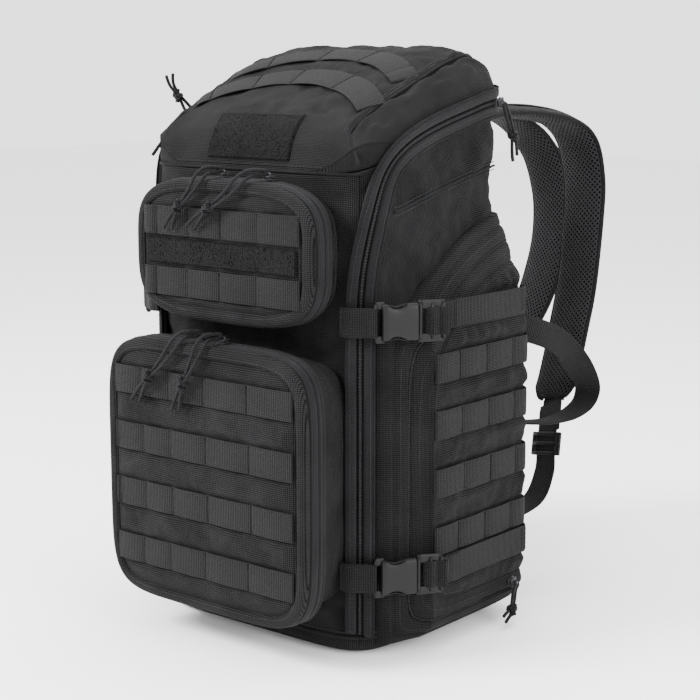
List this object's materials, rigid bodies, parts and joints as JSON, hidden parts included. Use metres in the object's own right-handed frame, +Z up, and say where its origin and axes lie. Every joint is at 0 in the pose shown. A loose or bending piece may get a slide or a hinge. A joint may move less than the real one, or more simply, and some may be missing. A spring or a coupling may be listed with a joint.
{
  "type": "trauma backpack",
  "caption": "Large medical backpack with a hinged cap, two hinged front pockets, padded side pockets, webbing rows, compression buckles, zip pulls and a shoulder harness.",
  "frame": {"origin": "middle of the flat base the bag stands on", "axes": "+Z up, -Y out of the front pockets, +X the wearer's right"},
  "size_m": [0.3518, 0.551, 0.5197],
  "materials": {
    "nylon": "coarse woven",
    "webbing": "ribbed weave",
    "loop": "fuzzy loop pile",
    "mesh": "air mesh",
    "zip": "coil zipper tape",
    "cord": "braided cord",
    "plastic": "satin moulded",
    "board": "smooth sheet",
    "slider_metal": "black enamel"
  },
  "bodies": {
    "pack": {"main_bag": "nylon", "main_zipper": "zip", "frame_sheet": "board", "haul_handle": "webbing", "lower_pocket_gusset": "nylon", "lower_pocket_zipper": "zip", "upper_pocket_gusset": "nylon", "upper_pocket_zipper": "zip", "side_pocket_right": "nylon", "side_webbing_right": "webbing", "back_pad_right": "mesh", "shoulder_strap_right": "mesh", "strap_tail_right": "webbing", "strap_adjuster_right": "plastic", "grab_handle_right": "webbing", "lower_strap_right": "webbing", "lower_buckle_socket_right": "plastic", "upper_strap_right": "webbing", "upper_buckle_socket_right": "plastic", "side_pocket_left": "nylon", "side_webbing_left": "webbing", "back_pad_left": "mesh", "shoulder_strap_left": "mesh", "strap_tail_left": "webbing", "strap_adjuster_left": "plastic", "grab_handle_left": "webbing", "lower_strap_left": "webbing", "lower_buckle_socket_left": "plastic", "upper_strap_left": "webbing", "upper_buckle_socket_left": "plastic"},
    "cap": {"cap_lid": "nylon", "cap_webbing": "webbing", "cap_patch": "loop"},
    "lower_face": {"lower_pocket_face": "nylon", "lower_webbing": "webbing"},
    "upper_face": {"upper_pocket_face": "nylon", "upper_webbing": "webbing", "upper_loop_strip": "loop"},
    "lower_pocket_pull_left": {"lower_pocket_slider_left": "slider_metal", "lower_pocket_cord_left": "cord"},
    "lower_pocket_pull_right": {"lower_pocket_slider_right": "slider_metal", "lower_pocket_cord_right": "cord"},
    "upper_pocket_pull_left": {"upper_pocket_slider_left": "slider_metal", "upper_pocket_cord_left": "cord"},
    "upper_pocket_pull_right": {"upper_pocket_slider_right": "slider_metal", "upper_pocket_cord_right": "cord"},
    "main_pull_right": {"main_slider_right": "slider_metal", "main_cord_right": "cord"},
    "main_pull_left": {"main_slider_left": "slider_metal", "main_cord_left": "cord"},
    "side_pull_right": {"side_slider_right": "slider_metal", "side_cord_right": "cord"},
    "side_pull_left": {"side_slider_left": "slider_metal", "side_cord_left": "cord"},
    "lower_clip_right": {"lower_buckle_clip_right": "plastic"},
    "upper_clip_right": {"upper_buckle_clip_right": "plastic"},
    "lower_clip_left": {"lower_buckle_clip_left": "plastic"},
    "upper_clip_left": {"upper_buckle_clip_left": "plastic"}
  },
  "joints": [
    {"name": "cap_hinge", "type": "hinge", "parent": "pack", "child": "cap", "pos_m": [0, -0.108, 0.412], "axis": [1, 0, 0], "range_deg": [0, 85]},
    {"name": "lower_face_hinge", "type": "hinge", "parent": "pack", "child": "lower_face", "pos_m": [0, -0.16, 0.034], "axis": [1, 0, 0], "range_deg": [0, 85]},
    {"name": "upper_face_hinge", "type": "hinge", "parent": "pack", "child": "upper_face", "pos_m": [0, -0.134, 0.284], "axis": [1, 0, 0], "range_deg": [0, 75]},
    {"name": "lower_pocket_zip_left", "type": "slide", "parent": "lower_face", "child": "lower_pocket_pull_left", "axis": [1, 0, 0], "range_m": [-0.045, 0]},
    {"name": "lower_pocket_zip_right", "type": "slide", "parent": "lower_face", "child": "lower_pocket_pull_right", "axis": [1, 0, 0], "range_m": [0, 0.06]},
    {"name": "upper_pocket_zip_left", "type": "slide", "parent": "upper_face", "child": "upper_pocket_pull_left", "axis": [1, 0, 0], "range_m": [-0.035, 0]},
    {"name": "upper_pocket_zip_right", "type": "slide", "parent": "upper_face", "child": "upper_pocket_pull_right", "axis": [1, 0, 0], "range_m": [0, 0.02]},
    {"name": "main_zip_right", "type": "slide", "parent": "pack", "child": "main_pull_right", "axis": [0, 0.9837, 0.1796], "range_m": [-0.05, 0]},
    {"name": "main_zip_left", "type": "slide", "parent": "pack", "child": "main_pull_left", "axis": [0, 0.9265, 0.3762], "range_m": [-0.01, 0.02]},
    {"name": "side_zip_right", "type": "slide", "parent": "pack", "child": "side_pull_right", "axis": [0, 1, 0], "range_m": [-0.06, 0]},
    {"name": "side_zip_left", "type": "slide", "parent": "pack", "child": "side_pull_left", "axis": [0, 1, 0], "range_m": [-0.06, 0]},
    {"name": "lower_buckle_right", "type": "slide", "parent": "pack", "child": "lower_clip_right", "axis": [0.5736, 0.8192, 0], "range_m": [0, 0.035]},
    {"name": "upper_buckle_right", "type": "slide", "parent": "pack", "child": "upper_clip_right", "axis": [0.5736, 0.8192, 0], "range_m": [0, 0.035]},
    {"name": "lower_buckle_left", "type": "slide", "parent": "pack", "child": "lower_clip_left", "axis": [-0.5736, 0.8192, 0], "range_m": [0, 0.035]},
    {"name": "upper_buckle_left", "type": "slide", "parent": "pack", "child": "upper_clip_left", "axis": [-0.5736, 0.8192, 0], "range_m": [0, 0.035]}
  ]
}
